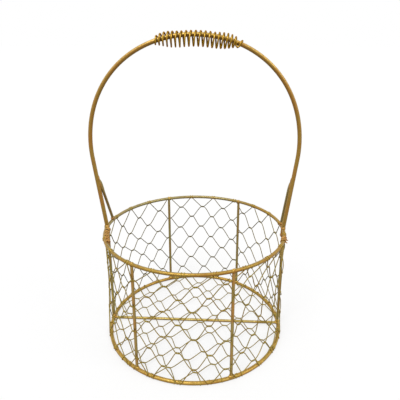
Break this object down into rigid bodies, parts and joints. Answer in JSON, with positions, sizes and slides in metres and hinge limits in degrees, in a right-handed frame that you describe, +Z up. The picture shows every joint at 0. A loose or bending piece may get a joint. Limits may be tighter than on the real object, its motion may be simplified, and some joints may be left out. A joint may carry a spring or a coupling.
{
  "type": "wire basket",
  "caption": "Round welded wire basket with hexagonal netting round its sides and floor, and a tall hooped handle with a wound wire grip",
  "frame": {"origin": "middle of the basket's underside, on the surface that it stands on", "axes": "+Z up along the basket's axis, X in the plane of the handle's hoop towards the right-hand leg, +Y away from the viewer to the back"},
  "size_m": [0.2258, 0.2124, 0.3401],
  "materials": {
    "ring_paint": "worn gold paint on steel wire, satin",
    "post_paint": "gold paint on steel wire, satin",
    "handle_paint": "gold paint on steel wire, satin with worn highlights",
    "coil_paint": "darker gold paint on wound steel wire",
    "net_paint": "thin gold paint over galvanised netting, dull"
  },
  "bodies": {
    "root": {"base_ring": "ring_paint", "rim_ring": "ring_paint", "base_crossbar": "post_paint", "post_right": "post_paint", "post_back_right": "post_paint", "post_back_left": "post_paint", "post_left": "post_paint", "post_front_left": "post_paint", "post_front_right": "post_paint", "handle_hoop": "handle_paint", "handle_stay_left": "handle_paint", "handle_stay_right": "handle_paint", "grip_coil": "coil_paint", "wall_netting": "net_paint", "floor_netting": "net_paint"}
  },
  "joints": []
}
